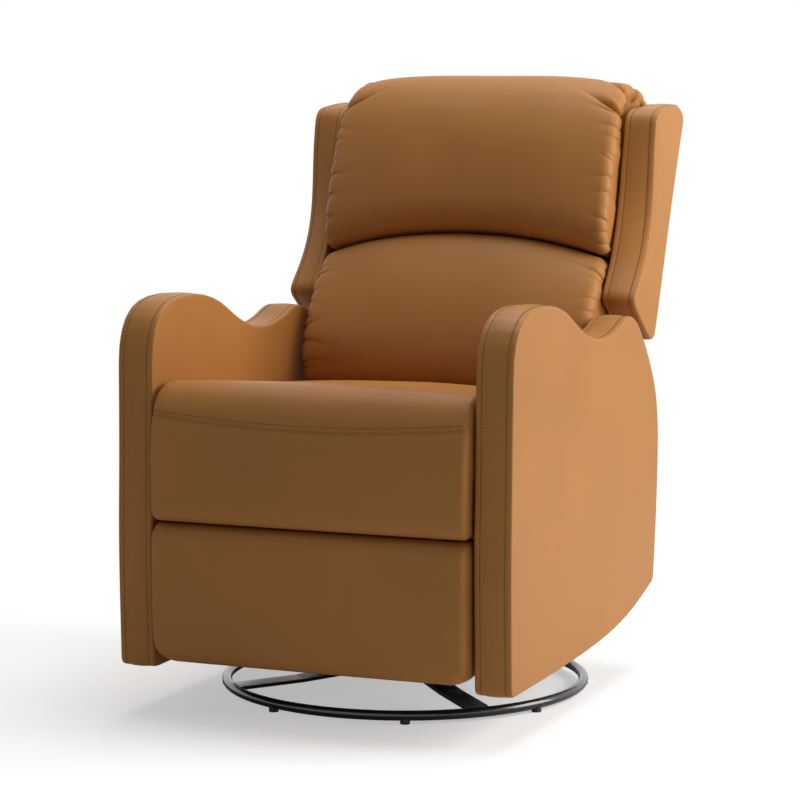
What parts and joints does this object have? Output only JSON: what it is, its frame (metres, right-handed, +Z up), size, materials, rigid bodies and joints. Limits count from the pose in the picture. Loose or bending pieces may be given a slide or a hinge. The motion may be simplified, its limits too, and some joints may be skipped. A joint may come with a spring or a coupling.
{
  "type": "swivel rocker recliner",
  "caption": "Upholstered armchair that swivels and rocks on a ring base, with a reclining winged back and a fold-out footrest.",
  "frame": {"origin": "middle of the chair's outline on the floor; the swivel axis stands 50.2 mm ahead of it", "axes": "+Z up, the sitter faces -Y, +X towards the sitter's left"},
  "size_m": [0.6715, 0.9164, 1.014],
  "materials": {
    "upholstery": "satin",
    "black_steel": "gloss",
    "zinc_steel": "satin",
    "plywood": "matte",
    "black_plastic": "matte"
  },
  "bodies": {
    "base": {"base_ring": "black_steel", "base_spokes": "black_steel", "hub_plate": "black_steel", "floor_glides": "black_plastic", "bearing_lower_race": "zinc_steel", "bearing_balls": "zinc_steel", "king_bolt": "zinc_steel"},
    "turntable": {"bearing_upper_race": "zinc_steel", "turntable_plate": "black_steel", "left_rocker_track": "black_steel", "right_rocker_track": "black_steel", "rocker_springs": "zinc_steel"},
    "chassis": {"left_rocker_cam": "black_steel", "right_rocker_cam": "black_steel", "front_cross_member": "black_steel", "rear_cross_member": "black_steel", "cross_bolts": "zinc_steel", "left_slide_rail": "black_steel", "right_slide_rail": "black_steel", "left_arm_frame": "plywood", "right_arm_frame": "plywood", "left_arm_cover": "upholstery", "right_arm_cover": "upholstery", "rear_apron": "upholstery", "lever_cup": "black_plastic", "release_cable": "black_plastic", "latch_bracket": "zinc_steel"},
    "release_lever": {"release_lever": "black_plastic"},
    "latch_pawl": {"latch_pawl": "zinc_steel"},
    "seat": {"left_seat_plate": "zinc_steel", "right_seat_plate": "zinc_steel", "seat_glides": "black_plastic", "seat_frame": "plywood", "seat_springs": "zinc_steel", "seat_cushion": "upholstery", "front_board": "plywood", "front_panel": "upholstery"},
    "back": {"back_frame": "plywood", "wing_blocks": "plywood", "left_back_bracket": "zinc_steel", "right_back_bracket": "zinc_steel", "lumbar_pad": "upholstery", "headrest_pad": "upholstery", "left_wing": "upholstery", "right_wing": "upholstery", "rear_cover": "upholstery"},
    "recline_links": {"recline_links": "zinc_steel"},
    "swing_links": {"drive_tube": "black_steel", "left_swing_link": "zinc_steel", "right_swing_link": "zinc_steel"},
    "follower_links": {"left_follower_link": "zinc_steel", "right_follower_link": "zinc_steel"},
    "coupler_links": {"left_coupler_link": "zinc_steel", "right_coupler_link": "zinc_steel"},
    "control_links": {"left_control_link": "zinc_steel", "right_control_link": "zinc_steel"},
    "footrest": {"footrest_brackets": "zinc_steel", "footrest_board": "plywood", "footrest_pad": "upholstery"}
  },
  "joints": [
    {"name": "swivel", "type": "hinge", "parent": "base", "child": "turntable", "pos_m": [0, -0.05025, 0.05], "axis": [0, 0, 1], "continuous": true},
    {"name": "rock", "type": "hinge", "parent": "turntable", "child": "chassis", "pos_m": [0, -0.05025, 0.2562], "axis": [-1, 0, 0], "range_deg": [-7, 10], "stiffness_Nm_per_rad": 520, "deforming": ["rocker_springs"]},
    {"name": "lever_pull", "type": "hinge", "parent": "chassis", "child": "release_lever", "pos_m": [-0.33, -0.20825, 0.47], "axis": [0, 0, 1], "range_deg": [0, 32], "stiffness_Nm_per_rad": 0.6, "springref_deg": -5.73},
    {"name": "pawl_lift", "type": "hinge", "parent": "chassis", "child": "latch_pawl", "pos_m": [0, -0.10225, 0.336], "axis": [1, 0, 0], "range_deg": [-1, 18]},
    {"name": "seat_slide", "type": "slide", "parent": "chassis", "child": "seat", "axis": [0, -1, 0], "range_m": [0, 0.0335]},
    {"name": "back_recline", "type": "hinge", "parent": "seat", "child": "back", "pos_m": [0, 0.14775, 0.372], "axis": [-1, 0, 0], "range_deg": [0, 35]},
    {"name": "recline_link_swing", "type": "hinge", "parent": "chassis", "child": "recline_links", "pos_m": [0, 0.24162, 0.42294], "axis": [1, 0, 0], "range_deg": [0, 8]},
    {"name": "footrest_swing", "type": "hinge", "parent": "seat", "child": "swing_links", "pos_m": [0, -0.27225, 0.316], "axis": [-1, 0, 0], "range_deg": [0, 103.2]},
    {"name": "follower_swing", "type": "hinge", "parent": "seat", "child": "follower_links", "pos_m": [0, -0.23885, 0.292], "axis": [-1, 0, 0], "range_deg": [0, 104]},
    {"name": "coupler_swing", "type": "hinge", "parent": "swing_links", "child": "coupler_links", "pos_m": [0, -0.18162, 0.12214], "axis": [1, 0, 0], "range_deg": [0, 115]},
    {"name": "control_swing", "type": "hinge", "parent": "follower_links", "child": "control_links", "pos_m": [0, -0.11504, 0.11138], "axis": [1, 0, 0], "range_deg": [0, 116]},
    {"name": "footrest_tilt", "type": "hinge", "parent": "coupler_links", "child": "footrest", "pos_m": [0, -0.35425, 0.268], "axis": [-1, 0, 0], "range_deg": [0, 102]}
  ],
  "couplings": [
    {"joint": "pawl_lift", "follows": "lever_pull", "ratio": 0.5},
    {"joint": "seat_slide", "follows": "back_recline", "m_per_rad": 0.05363},
    {"joint": "recline_link_swing", "follows": "back_recline", "ratio": 0.1467},
    {"joint": "follower_swing", "follows": "footrest_swing", "ratio": 0.9999},
    {"joint": "coupler_swing", "follows": "footrest_swing", "ratio": 1.104},
    {"joint": "control_swing", "follows": "footrest_swing", "ratio": 1.1099},
    {"joint": "footrest_tilt", "follows": "footrest_swing", "ratio": 0.9571}
  ]
}
